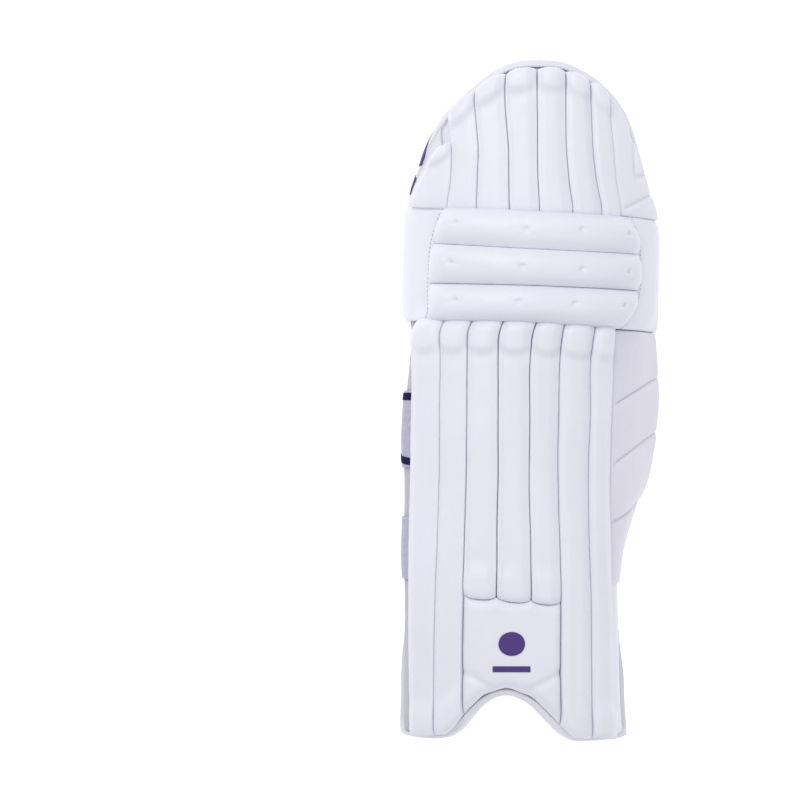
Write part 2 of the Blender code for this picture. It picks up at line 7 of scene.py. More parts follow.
import bpy
import numpy as np
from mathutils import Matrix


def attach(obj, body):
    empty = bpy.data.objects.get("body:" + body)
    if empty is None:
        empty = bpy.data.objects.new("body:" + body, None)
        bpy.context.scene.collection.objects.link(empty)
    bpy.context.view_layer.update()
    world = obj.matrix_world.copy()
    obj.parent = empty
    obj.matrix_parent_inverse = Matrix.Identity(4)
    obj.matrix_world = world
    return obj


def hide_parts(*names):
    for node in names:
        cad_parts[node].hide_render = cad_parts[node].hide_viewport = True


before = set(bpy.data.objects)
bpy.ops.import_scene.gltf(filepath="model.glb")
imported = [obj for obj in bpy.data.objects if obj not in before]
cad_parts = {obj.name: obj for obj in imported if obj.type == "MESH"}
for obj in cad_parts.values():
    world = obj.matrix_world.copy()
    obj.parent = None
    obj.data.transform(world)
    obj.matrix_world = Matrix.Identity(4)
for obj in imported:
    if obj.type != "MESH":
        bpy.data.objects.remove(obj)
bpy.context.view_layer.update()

# Sizes in metres, with angles in radians and shares of a neighbouring size
pad_length = 0.682
pad_width = 0.258
crown_height = 0.095
front_radius = 0.165
front_arc_angle = math.radians(34)
foot_clearance = 0.003
backing_thickness = 0.010
seat_gap = 0.0006
shin_roll_height = 0.016
thigh_roll_height = 0.015
head_bulge = 0.0048
shortest_full_roll = 0.075
roll_grid_step = 0.0020
bolster_end_share = 0.36
bolster_height = 0.030
flap_height = 0.008
wing_height = 0.009
side_panel_height = 0.009
instep_height = 0.017
backing_inset = 0.0018
foot_tape_width = 0.0064
foot_tape_narrow = 0.0034
thigh_tape_width = 0.0078
tape_lift = 0.0034
tape_inner_rise = 0.0022
tape_outer_drop = 0.0010
outline_step = 0.002
strap_thickness = 0.0022
strap_grip_height = 0.045
strap_lift_height = 0.016
strap_floor_margin = 0.010
strap_swell = 0.0016
mark_radius = 0.012
mark_bar_length = 0.034
mark_bar_width = 0.006
mark_rise = 0.0008
mark_disc_along = 0.147
mark_bar_along = 0.110
# Gaps between pieces that meet, in metres and as a share of the length
seam_gap = 0.00012
end_gap_share = 0.0002
# The floor, just under the pad
floor_reach = 18.0
floor_level = -0.0003

# The photograph: 1 px is 1 mm, and this pixel is over the origin
photo_origin = (530.0, 402.0)
photo_middle = 400.0
photo_size = 800
millimetre = 0.001
# About the girth of one side, and the length
girth_mm = 172
length_mm = pad_length / millimetre
# The height at which 1 px of the frame is 1 mm, and how far above it the camera hangs
scale_height = 0.080
camera_distance = 6.0
sensor_width = 36

# Cross-sections from the foot to the thigh, as shares of the sizes above
# along, centre, left radius, left lean in degrees, right radius, right lean, crown
SECTIONS = (
    (0.000, -0.054, 0.27, 88, 0.22, 88, 0.93),
    (0.060, -0.056, 0.235, 88, 0.19, 88, 0.95),
    (0.150, -0.058, 0.225, 88, 0.175, 88, 0.98),
    (0.238, -0.058, 0.24, 88, 0.155, 88, 1.00),
    (0.283, -0.058, 0.24, 88, 0.19, 87, 1.00),
    (0.342, -0.058, 0.24, 88, 0.28, 83, 1.00),
    (0.371, -0.058, 0.24, 88, 0.39, 73, 1.00),
    (0.397, -0.058, 0.24, 88, 0.505, 67, 1.00),
    (0.444, -0.058, 0.24, 88, 0.56, 57, 1.00),
    (0.503, -0.056, 0.23, 88, 0.58, 54, 1.00),
    (0.545, -0.050, 0.21, 88, 0.56, 57, 1.00),
    (0.600, -0.035, 0.21, 88, 0.49, 66, 1.00),
    (0.640, 0.008, 0.40, 84, 0.38, 84, 1.00),
    (0.700, 0.012, 0.40, 84, 0.38, 84, 1.00),
    (0.800, 0.014, 0.40, 84, 0.40, 84, 0.99),
    (1.000, 0.020, 0.40, 84, 0.40, 84, 0.88),
)
# The thigh's outline: along, left, right
THIGH_EDGE = (
    (0.7670, -1.000, 0.930),
    (0.7815, -0.985, 0.870),
    (0.8138, -0.890, 0.780),
    (0.8446, -0.780, 0.735),
    (0.8695, -0.735, 0.690),
    (0.9040, -0.645, 0.640),
    (0.9280, -0.570, 0.590),
    (0.9510, -0.455, 0.510),
    (0.9685, -0.365, 0.430),
    (0.9825, -0.290, 0.340),
    (0.9955, -0.185, 0.225),
    (1.0015, -0.075, 0.140),
)
# The foot's outline: across, along
FOOT_EDGE = (
    (-1.000, 0.0220),
    (-0.860, 0.0103),
    (-0.630, 0.0059),
    (-0.515, 0.0051),
    (-0.420, 0.0081),
    (-0.350, 0.0190),
    (-0.270, 0.0410),
    (-0.176, 0.0630),
    (-0.055, 0.0733),
    (0.080, 0.0600),
    (0.190, 0.0337),
    (0.264, 0.0161),
    (0.360, 0.0015),
    (0.600, 0.0030),
    (0.700, 0.0042),
    (0.900, 0.0085),
    (1.000, 0.0160),
)
# along, then the eight seams from left to right
SHIN_SEAMS = (
    (0.026, -0.646, -0.488, -0.320, -0.120, 0.090, 0.265, 0.459, 0.637),
    (0.215, -0.632, -0.458, -0.296, -0.108, 0.087, 0.262, 0.444, 0.594),
    (0.397, -0.617, -0.432, -0.273, -0.096, 0.077, 0.233, 0.412, 0.556),
    (0.503, -0.610, -0.432, -0.273, -0.096, 0.077, 0.234, 0.412, 0.557),
    (0.545, -0.620, -0.435, -0.284, -0.105, 0.066, 0.226, 0.400, 0.555),
    (0.602, -0.655, -0.475, -0.308, -0.131, 0.056, 0.218, 0.402, 0.543),
)
THIGH_SEAMS = (
    (0.780, -0.80, -0.505, -0.320, -0.138, 0.034, 0.219, 0.388, 0.510),
    (0.821, -0.71, -0.478, -0.320, -0.142, 0.024, 0.195, 0.355, 0.480),
    (0.870, -0.585, -0.480, -0.320, -0.146, 0.017, 0.180, 0.339, 0.470),
    (0.943, -0.50, -0.530, -0.357, -0.172, 0.011, 0.178, 0.326, 0.451),
)
# How far each seam sinks, as a share of the roll's height
SHIN_SEAM_DEPTHS = (0.50, 0.17, 0.42, 0.32, 0.20, 0.24, 0.18, 0.26)
THIGH_SEAM_DEPTHS = (0.30, 0.17, 0.34, 0.24, 0.18, 0.17, 0.15, 0.20)
head_seam_depth = 0.32
# How far the thigh's heads step back at their seams, in metres, and where the seams are read
thigh_head_notch = 0.0042
thigh_head_along = 0.93
# How wide a seam's notch is, as a share of half a roll
seam_notch_share = 0.058
# Of the heads, in mm from a roll's end: where the full height ends, and where the head has gone
SHIN_HEAD = (27, 38)
THIGH_HEAD = (16, 27)
# How high a roll starts at its ends, as a share of its height
shin_head_tuck = 0.36
thigh_head_tuck = 0.70
low_tuck = 0.62
# Of each roll from left to right: where its sloping right side starts, and how far it drops
SHIN_FACETS = (
    (0.70, 0.14), (0.40, 0.16), (0.45, 0.17), (0.32, 0.20),
    (0.18, 0.24), (0.26, 0.25), (0.22, 0.38),
)
THIGH_FACETS = (
    (0.60, 0.12), (0.50, 0.16), (0.40, 0.18), (0.35, 0.20),
    (0.22, 0.24), (0.30, 0.26), (0.30, 0.40),
)
first_thigh_roll_top = 0.880
side_panel_top = 0.953
# across, along: where the middle rolls' seams end above the instep
MIDDLE_ENDS = (
    (-0.296, 0.2205),
    (-0.108, 0.2165),
    (0.087, 0.2120),
    (0.262, 0.2095),
)
middle_end_sag = 0.0065

# across, bottom, lower line, upper line, top
KNEE_LINES = (
    (-1.02, 0.620, 0.676, 0.735, 0.797),
    (-0.60, 0.619, 0.674, 0.733, 0.787),
    (0.00, 0.617, 0.670, 0.723, 0.780),
    (0.60, 0.606, 0.663, 0.716, 0.771),
    (1.02, 0.602, 0.660, 0.714, 0.766),
)
# along, left end, right end
BOLSTER_ENDS = (
    (0.610, -0.575, 0.580),
    (0.670, -0.600, 0.624),
    (0.735, -0.586, 0.616),
    (0.783, -0.520, 0.537),
)
# Of each bolster: height at its lower and upper line in mm, and how sharply it turns there
BOLSTER_FORMS = {1: (11, 18, 0.62, 0.74), 2: (17, 20, 0.70, 0.86), 3: (19, 12, 0.90, 0.66)}
# Dimples of each bolster: share of its length, share of its width from the lower line
DIMPLES = {
    1: ((0.163, 0.56), (0.433, 0.55), (0.673, 0.56), (0.905, 0.59)),
    2: ((0.135, 0.55), (0.44, 0.51), (0.690, 0.50), (0.905, 0.50)),
    3: ((0.125, 0.60), (0.455, 0.50), (0.700, 0.56), (0.925, 0.52)),
}
# Dimples and the puckers around them, in mm
dimple_depth = 3.4
dimple_radius = 2.1
pucker_depth = 0.8
pucker_radius = 8.5
# Quilted lines of the wing: along at the roll, along at the edge
WING_LINES = ((0.232, 0.240), (0.320, 0.355), (0.405, 0.456), (0.493, 0.537), (0.6058, 0.6018))
calf_strap_low = 0.403
calf_strap_high = 0.517
ankle_strap_low = 0.239
ankle_strap_high = 0.331
strap_top_share = 0.648
trim_width = 0.095
wall_columns = 24
ACCENTS = {"thigh_accent_upper": (0.848, 0.897), "thigh_accent_lower": (0.8138, 0.837)}
SIDE_TAPE_ENDS = (0.796, 0.914)
foot_tape_tops = {-1: 0.175, 1: 0.160}
# The grey strip on the left side, where the backing's pale side is painted in shade: its inner edge
# across, and its top along
shade_strip_inner_edge = -0.66
shade_strip_top = 0.62
# Stitches in metres: pitch, thickness, and height above the backing
bolster_pitch = 0.0042
bolster_stitch_heights = {-1: 0.0114, 1: 0.0113}
wing_stitch_height = 0.0064
tape_pitch = 0.0036
tape_stitch_height = 0.0042
shin_pitch = 0.0034
SHIN_STITCHES = {1: 0.0121, 6: 0.0113}
thick_stitch = 0.0009
thin_stitch = 0.0008

# Creases of the instep pad and the thigh's side panel, in pixels of the photograph
INSTEP_CREASES = (
    ((464, 671), (478, 677)), ((478, 677), (491, 686)),
    ((558, 671), (545, 680)), ((545, 680), (528, 689)),
)
SIDE_CREASES = (
    ((628, 130), (631, 178)), ((632, 177), (643, 172)), ((622, 208), (648, 192)),
)


def ease(value, start, end):
    """Go smoothly from 0 at the start to 1 at the end."""
    share = np.clip((value - start) / (end - start), 0, 1)
    return share * share * (3 - 2 * share)


def bump(value, centre, width):
    """Return a soft bump of height 1."""
    return np.exp(-((value - centre) / width) ** 2)


def round_edge(distance, radius):
    """Rise from 0 at an edge to 1 a radius away, like a quarter circle."""
    inside = 1 - np.clip(distance / radius, 0, 1)
    return np.sqrt(1 - inside * inside)


def track(table, column, blur):
    """Return a smooth function through one column of a table."""
    places = [row[0] for row in table]
    step = 0.001
    grid = np.arange(places[0] - 6 * blur, places[-1] + 6 * blur, step)
    values = np.interp(grid, places, [row[column] for row in table])
    reach = int(3 * blur / step)
    kernel = np.exp(-0.5 * (np.arange(-reach, reach + 1) * step / blur) ** 2)
    padded = np.pad(values, reach, mode="edge")
    smooth = np.convolve(padded, kernel / kernel.sum(), mode="valid")
    return lambda key: np.interp(key, grid, smooth)


section_tracks = [track(SECTIONS, column, 0.008) for column in range(1, 7)]
shin_seams = [track(SHIN_SEAMS, column, 0.02) for column in range(1, 9)]
thigh_seams = [track(THIGH_SEAMS, column, 0.008) for column in range(1, 9)]
knee_lines = [track(KNEE_LINES, column, 0.10) for column in range(1, 5)]
bolster_left = track(BOLSTER_ENDS, 1, 0.010)
bolster_right = track(BOLSTER_ENDS, 2, 0.010)
foot_edge = track(FOOT_EDGE, 1, 0.018)
NOISE = np.random.RandomState(7).rand(256, 256)


def soft_noise(x, y, shift):
    """Return smooth noise between -1 and 1 on a grid of unit cells."""
    x = x + shift * 17.3
    y = y + shift * 9.7
    column = np.floor(x).astype(int)
    row = np.floor(y).astype(int)
    u = ease(x - column, 0, 1)
    v = ease(y - row, 0, 1)
    lower = NOISE[row % 256, column % 256] * (1 - u) + NOISE[row % 256, (column + 1) % 256] * u
    upper = (NOISE[(row + 1) % 256, column % 256] * (1 - u)
             + NOISE[(row + 1) % 256, (column + 1) % 256] * u)
    return 2 * (lower * (1 - v) + upper * v) - 1


def relief(along, across, *layers):
    """Return layers of soft noise in mm, each with its strength, cell sizes in mm and shift."""
    x = across * girth_mm
    y = along * length_mm
    return sum(strength * soft_noise(x / wide, y / long, shift)
               for strength, wide, long, shift in layers)


def section_points(along, arc, height):
    """Return points at signed arc lengths from the crown, at heights above the backing."""
    centre, left_radius, left_lean, right_radius, right_lean, crown = [
        values(along) for values in section_tracks]
    right = arc > 0
    side_radius = np.where(right, right_radius, left_radius) * front_radius
    lean = np.radians(np.where(right, right_lean, left_lean))
    front_arc = front_radius * front_arc_angle
    side_arc = side_radius * (lean - front_arc_angle)
    length = np.abs(arc)
    turn = np.clip(length - front_arc, 0, side_arc) / side_radius
    angle = np.minimum(length, front_arc) / front_radius + turn
    straight = np.maximum(length - front_arc - side_arc, 0)
    front_angle = np.minimum(angle, front_arc_angle)
    out = front_radius * np.sin(front_angle) + side_radius * (np.sin(angle) - np.sin(front_angle))
    drop = (front_radius * (1 - np.cos(front_angle))
            + side_radius * (np.cos(front_angle) - np.cos(angle)))
    out = out + straight * np.cos(lean)
    drop = drop + straight * np.sin(lean)
    sign = np.where(right, 1, -1)
    x = centre * pad_width + sign * (out + height * np.sin(angle))
    z = crown * crown_height - drop + height * np.cos(angle)
    y = (along - 0.5) * pad_length + 0 * arc
    return np.stack([x, y, z], axis=-1)


def girth_track(sign, thickness, clearance):
    """Return the arc length from the crown to the foot of the backing, or to the floor."""
    grid = np.linspace(-0.03, 1.03, 1061)
    lean = np.radians(section_tracks[4 if sign > 0 else 2](grid))
    level = clearance + thickness * np.cos(lean)
    low = np.zeros_like(grid)
    high = np.full_like(grid, 2 * front_radius)
    for _ in range(30):
        middle = (low + high) / 2
        above = section_points(grid, sign * middle, 0)[..., 2] > level
        low = np.where(above, middle, low)
        high = np.where(above, high, middle)
    return lambda along: np.interp(along, grid, low)


girths = {sign: girth_track(sign, backing_thickness, foot_clearance) for sign in (-1, 1)}
floor_girths = {sign: girth_track(sign, 0, 0) for sign in (-1, 1)}


def girth(along, across):
    """Return the girth of the side on which a share lies."""
    return np.where(across > 0, girths[1](along), girths[-1](along))


def front_points(along, across, height):
    """Return points at shares of the length and the girth, at heights above the backing."""
    along, across, height = np.broadcast_arrays(along, across, height)
    return section_points(along, across * girth(along, across), height)


def photo_place(pixel):
    """Return the place on the pad, in metres, of a pixel of the photograph."""
    return np.array(((pixel[0] - photo_origin[0]) * millimetre,
                     (photo_origin[1] - pixel[1]) * millimetre))


def crease_depth(points, creases, width):
    """Return how deep the creases cut at each point, from 0 to 1."""
    depth = np.zeros(points.shape[:-1])
    for start, end in creases:
        start = photo_place(start)
        run = photo_place(end) - start
        offset = points[..., :2] - start
        share = np.clip((offset @ run) / (run @ run), 0, 1)
        distance = np.linalg.norm(offset - share[..., None] * run, axis=-1)
        depth = np.maximum(depth, np.exp(-(distance / width) ** 2))
    return depth


def add_object(name, data):
    """Put an object with its data into the scene."""
    thing = bpy.data.objects.new(name, data)
    bpy.context.scene.collection.objects.link(thing)
    return thing


def add_mesh(name, points, faces, material):
    """Make an object from points and faces and shade it smooth."""
    mesh = bpy.data.meshes.new(name)
    mesh.from_pydata(points, [], faces)
    mesh.materials.append(material)
    mesh.shade_smooth()
    return add_object(name, mesh)


def grid_faces(rows, columns, start):
    """Return the faces of a grid of points, row by row."""
    return [(start + i * columns + j, start + i * columns + j + 1,
             start + (i + 1) * columns + j + 1, start + (i + 1) * columns + j)
            for i in range(rows - 1) for j in range(columns - 1)]


def closed_form(name, top, bottom, material):
    """Make a closed form between two grids of points with the same rows and columns."""
    rows, columns = top.shape[:2]
    count = rows * columns
    faces = grid_faces(rows, columns, 0)
    faces += [face[::-1] for face in grid_faces(rows, columns, count)]
    rim = list(range(columns))
    rim += [i * columns + columns - 1 for i in range(1, rows)]
    rim += [(rows - 1) * columns + j for j in range(columns - 2, -1, -1)]
    rim += [i * columns for i in range(rows - 2, 0, -1)]
    for here, after in zip(rim, rim[1:] + rim[:1]):
        faces.append((after, here, here + count, after + count))
    points = np.concatenate([top.reshape(-1, 3), bottom.reshape(-1, 3)])
    return add_mesh(name, points.tolist(), faces, material)


def finish_piece(piece, node):
    """Let a piece ride on the pad and stand for its node."""
    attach(piece, "root")
    if node:
        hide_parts(node)


def padded_piece(name, along, across, height_mm, material,
                 thinnest=0.6, ending="leather"):
    """Make a padded panel on the backing, from grids of shares and heights, for its node."""
    height = np.maximum(height_mm, thinnest) * millimetre
    top = front_points(along, across, seat_gap + height)
    bottom = front_points(along, across, np.full_like(height, seat_gap / 2))
    finish_piece(closed_form(f"{name}_{ending}", top, bottom, material), name)


def edge_spaced(count):
    """Return shares from 0 to 1 that lie closer together near both ends."""
    even = np.linspace(0, 1, count)
    return 0.35 * even + 0.65 * (0.5 - 0.5 * np.cos(np.pi * even))


def grid_shares(rows, columns):
    """Return the shares of a grid's rows and of its columns."""
    return edge_spaced(rows)[:, None], edge_spaced(columns)[None, :]


STRAP_ROWS = edge_spaced(34)


def set_input(shader, name, value):
    """Set one socket of a shader."""
    shader.inputs[name].default_value = value


def shaded(name, color, roughness, **sockets):
    """Return a material, its node tree and its Principled shader."""
    material = bpy.data.materials.new(name)
    material.use_nodes = True
    tree = material.node_tree
    shader = tree.nodes["Principled BSDF"]
    set_input(shader, "Base Color", (*color, 1))
    set_input(shader, "Roughness", roughness)
    for socket, value in sockets.items():
        set_input(shader, socket.replace("_", " "), value)
    return material, tree, shader


def add_node(tree, kind, sources=(), **values):
    """Add a shader node, set its values and link its inputs to their sources."""
    node = tree.nodes.new(f"ShaderNode{kind}")
    for name, value in values.items():
        set_input(node, name, value)
    for name, source in sources:
        tree.links.new(source, node.inputs[name])
    return node


def noise_node(tree, place, scale, detail):
    """Add a noise texture in object space, with its scale in cells per metre."""
    return add_node(tree, "TexNoise", [("Vector", place)], Scale=scale, Detail=detail).outputs["Fac"]


def wave_node(tree, place, direction, pitch, distortion):
    """Add a wave texture in object space, with its bands a pitch apart."""
    bands_per_unit = 3.2
    node = add_node(tree, "TexWave", [("Vector", place)],
                    Scale=1 / pitch / bands_per_unit, Distortion=distortion)
    node.bands_direction = direction
    return node.outputs["Fac"]


def ramp_node(tree, value, low, high, start=0.3, end=0.7):
    """Add a colour ramp between two colours."""
    node = add_node(tree, "ValToRGB", [("Fac", value)])
    node.color_ramp.elements[0].position = start
    node.color_ramp.elements[1].position = end
    node.color_ramp.elements[0].color = (*low, 1)
    node.color_ramp.elements[1].color = (*high, 1)
    return node.outputs["Color"]


def bump_node(tree, height, distance, strength, before=None):
    """Add a bump, on top of another one if there is one."""
    sources = [("Height", height)] + ([("Normal", before)] if before else [])
    return add_node(tree, "Bump", sources, Distance=distance, Strength=strength).outputs["Normal"]


def leather_material(name, light, dark, roughness):
    """Return smooth coated leather: fine pebbles, faint creases and faint stains."""
    material, tree, shader = shaded(name, light, roughness, Coat_Weight=0.06, Coat_Roughness=0.35)
    place = add_node(tree, "TexCoord").outputs["Object"]
    cells = add_node(tree, "TexVoronoi", [("Vector", place)], Scale=1100)
    grain = noise_node(tree, place, 420, 3)
    creases = noise_node(tree, place, 55, 5)
    stains = noise_node(tree, place, 14, 4)
    tree.links.new(ramp_node(tree, stains, dark, light), shader.inputs["Base Color"])
    rough = add_node(tree, "MapRange", [("Value", creases)])
    set_input(rough, "To Min", roughness - 0.07)
    set_input(rough, "To Max", roughness + 0.09)
    tree.links.new(rough.outputs["Result"], shader.inputs["Roughness"])
    normal = bump_node(tree, cells.outputs["Distance"], 0.00010, 0.30)
    normal = bump_node(tree, grain, 0.00018, 0.35, normal)
    normal = bump_node(tree, creases, 0.0008, 0.22, normal)
    tree.links.new(normal, shader.inputs["Normal"])
    return material


def cloth_material(name, light, dark, pitch, roughness=0.85, sheen=0.2):
    """Return a woven cloth with threads both ways, a pitch apart."""
    material, tree, shader = shaded(name, light, roughness, Sheen_Weight=sheen)
    place = add_node(tree, "TexCoord").outputs["Object"]
    waves = [wave_node(tree, place, direction, pitch, 0.6) for direction in ("X", "Y")]
    mix = add_node(tree, "Math", list(enumerate(waves)))
    mix.operation = "MULTIPLY"
    fuzz = noise_node(tree, place, 260, 4)
    tree.links.new(ramp_node(tree, fuzz, dark, light), shader.inputs["Base Color"])
    normal = bump_node(tree, mix.outputs["Value"], pitch / 4, 0.5)
    normal = bump_node(tree, fuzz, 0.0004, 0.4, normal)
    tree.links.new(normal, shader.inputs["Normal"])
    return material


def thread_material(name, light, dark, roughness, spacing):
    """Return twisted or satin thread, with fine ridges along it."""
    material, tree, shader = shaded(name, light, roughness, Sheen_Weight=0.3)
    place = add_node(tree, "TexCoord").outputs["Object"]
    wave = wave_node(tree, place, "DIAGONAL", spacing, 1.2)
    tree.links.new(ramp_node(tree, wave, dark, light), shader.inputs["Base Color"])
    normal = bump_node(tree, wave, 0.0003, 0.6)
    tree.links.new(normal, shader.inputs["Normal"])
    return material


leather = leather_material("white_leather", (0.83, 0.83, 0.90), (0.80, 0.80, 0.875), 0.46)
tape = leather_material("edge_tape", (0.80, 0.80, 0.865), (0.765, 0.765, 0.835), 0.56)
# The wing is the same white leather, painted darker: painted shade for the wing, which turns away from
# the light
wing_leather_painted_shade = leather_material("wing_leather_painted_shade", (0.775, 0.765, 0.845), (0.745, 0.735, 0.82), 0.50)
# A grey cloth for the backing's steep left side: its grey is painted shade, not the side's own colour
side_cloth_painted_shade = cloth_material("side_cloth_painted_shade", (0.49, 0.48, 0.52), (0.43, 0.42, 0.46), 0.0011)
lining = cloth_material("back_lining", (0.80, 0.80, 0.83), (0.74, 0.74, 0.78), 0.0012)
webbing = cloth_material("strap_fabric", (0.50, 0.48, 0.62), (0.40, 0.38, 0.52), 0.0009)
ribbon = cloth_material("strap_trim", (0.012, 0.006, 0.075), (0.008, 0.004, 0.05), 0.0008, 0.9, 0.0)
set_input(ribbon.node_tree.nodes["Principled BSDF"], "Specular IOR Level", 0.12)
purple = leather_material("accent_purple", (0.065, 0.026, 0.215), (0.052, 0.020, 0.180), 0.42)
satin = thread_material("purple_thread", (0.085, 0.034, 0.27), (0.045, 0.016, 0.16), 0.45, 0.0006)
thread = thread_material("white_thread", (0.78, 0.78, 0.84), (0.58, 0.58, 0.66), 0.6, 0.0005)
# Grey thread: the stitches are real, and their grey is painted shade of the stitch holes along the seams
thread_painted_shade = thread_material("thread_painted_shade", (0.60, 0.60, 0.66), (0.48, 0.48, 0.54), 0.6, 0.0005)


def roll_across_form(u, left_depth, right_depth, facet):
    """Return the form across a roll: a flat top, sloping sides and seams at its edges."""
    start, drop = facet
    down = np.clip((u - start) / (1 - start), 0, 1)
    slope = 0.13 * ease(-u, 0.50, 0.92) + drop * down * down * 1.12 / (down + 0.12)
    depth = np.where(u < 0, left_depth, right_depth)
    sink = depth * (1 - round_edge(1 - np.abs(u), seam_notch_share))
    return 1 - slope - sink


def seam_share(seams, index, along):
    """Return where a seam lies, with the slight wander of hand sewing."""
    wander = soft_noise(along * 13, along * 0, index + 3) * 0.0035
    return seams[index](along) + wander


def make_roll(name, seams, depths, facets, index, low, high, height, low_bulb):
    """Make one padded roll between two seams, with round heads at its ends."""
    middle = 0.5 * (seams[index](0.4) + seams[index + 1](0.4))
    length = float(high(middle) - low(middle)) * pad_length
    rows = np.linspace(0, 1, int(length / roll_grid_step) + 12)[:, None]
    places = edge_spaced(35)[None, :]
    across = np.full((rows.size, places.size), middle)
    for _ in range(6):
        along = low(across) + rows * (high(across) - low(across))
        left = seam_share(seams, index, along)
        right = seam_share(seams, index + 1, along)
        inset = seam_gap / girth(along, left)
        across = (left + inset) + places * (right - left - 2 * inset)
    from_low = (along - low(across)) * length_mm
    from_high = (high(across) - along) * length_mm
    u = 2 * places - 1
    reach = min(1.0, length / shortest_full_roll)
    head_start, head_end = [place * reach for place in (SHIN_HEAD if low_bulb else THIGH_HEAD)]
    head = 1 - ease(from_high, head_start - 1, head_end + 2)
    foot = (1 - ease(from_low, 24 * reach, 44 * reach)) * low_bulb
    ends = np.maximum(head, foot)
    deep = [depth + (max(depth, head_seam_depth) - depth) * ends
            for depth in (depths[index], depths[index + 1])]
    form = roll_across_form(u, *deep, facets[index])
    round_top = np.clip(1 - u * u, 0, 1) ** 0.5
    curved_high = from_high + 6 * u * u
    curved_low = from_low + 7 * u * u
    bulb = head_bulge / millimetre * (1 - ease(curved_high, head_start, head_end))
    bulb = bulb - 0.5 * bump(curved_high, head_end + 2, 5)
    bulb = bulb + low_bulb * (2.6 * (1 - ease(curved_low, 20, 38)) - 0.4 * bump(curved_low, 41, 6))
    high_tuck = shin_head_tuck if low_bulb else thigh_head_tuck
    tuck = high_tuck + (1 - high_tuck) * round_edge(from_high, 13)
    tuck = tuck * (low_tuck + (1 - low_tuck) * round_edge(from_low + 1.0, 11))
    wrinkle = relief(along, across, (0.28, 16, 45, index), (0.10, 4, 9, index + 2))
    pucker = relief(along, across, (0.22, 3, 5, index + 5)) * ease(np.abs(u), 0.55, 0.9)
    folds = relief(along, across, (0.45, 5, 12, index + 9)) * ends * ease(np.abs(u), 0.2, 0.8)
    raise_mm = height / millimetre * form * tuck + bulb * round_top + wrinkle + pucker + folds
    padded_piece(name, along, across, raise_mm, leather)


def foot_tape(across):
    """Return the width of the foot's tape, which is widest over the arch."""
    arch = ease(across, -0.45, -0.32) * (1 - ease(across, 0.22, 0.36))
    return foot_tape_narrow + (foot_tape_width - foot_tape_narrow) * arch


def foot_inset(across, inset):
    """Return how far along a line runs that keeps a distance from the foot edge."""
    step = 0.004
    rise = (foot_edge(across + step) - foot_edge(across - step)) * pad_length
    run = 2 * step * girth_mm * millimetre
    slope = np.minimum(np.abs(rise / run), 2.0)
    return foot_edge(across) + inset * np.sqrt(1 + slope * slope) / pad_length


def middle_end(across):
    """Return how far along the middle rolls end, each with a round lower edge."""
    line = np.interp(across, *zip(*MIDDLE_ENDS))
    sag = 0 * line
    for (start, _), (end, _) in zip(MIDDLE_ENDS, MIDDLE_ENDS[1:]):
        u = (2 * across - start - end) / (end - start)
        sag = np.maximum(sag, np.sqrt(np.clip(1 - u * u, 0, 1)))
    return line - middle_end_sag * sag


def make_shin_rolls():
    """Make the seven rolls of the shin."""
    def high(across):
        return knee_lines[0](across) + 0.004

    def foot_end(across):
        return foot_inset(across, foot_tape(across))

    for index in range(7):
        low = middle_end if index in (2, 3, 4) else foot_end
        make_roll(f"shin_roll_{index + 1}", shin_seams, SHIN_SEAM_DEPTHS, SHIN_FACETS, index,
                  low, high, shin_roll_height, 1.0)


thigh_left_edge = track(THIGH_EDGE, 1, 0.004)
thigh_right_edge = track(THIGH_EDGE, 2, 0.004)


def thigh_limit(along, side):
    """Return the share at which the padding stops inside the binding of the thigh."""
    share = thigh_right_edge(along) if side > 0 else thigh_left_edge(along)
    return share - side * thigh_tape_width / girths[side](along)


def dome_along(across):
    """Return how far along the dome's outline lies at a share of the girth."""
    along, left, right = np.array(THIGH_EDGE)[::-1].T
    share = np.abs(across)
    return np.where(across > 0.03, np.interp(share, right, along), np.interp(share, -left, along))


def make_thigh_rolls():
    """Make the seven rolls of the thigh, whose heads follow the dome."""
    def low(across):
        return knee_lines[3](across) - 0.003

    def high(across):
        near = [dome_along(across + shift) for shift in (-0.06, -0.03, 0, 0.03, 0.06)]
        return sum(near) / len(near) - thigh_tape_width / pad_length

    def first_high(across):
        return first_thigh_roll_top + 0.10 * (across + 0.50)

    for index in range(7):
        sides = [float(thigh_seams[index + shift](thigh_head_along)) for shift in (0, 1)]

        def round_high(across, sides=sides):
            u = np.clip((2 * across - sides[0] - sides[1]) / (sides[1] - sides[0]), -1, 1)
            return high(across) - thigh_head_notch * (1 - np.sqrt(1 - 0.96 * u * u)) / pad_length

        top = first_high if index == 0 else round_high
        make_roll(f"thigh_roll_{index + 1}", thigh_seams, THIGH_SEAM_DEPTHS, THIGH_FACETS, index,
                  low, top, thigh_roll_height, 0.0)


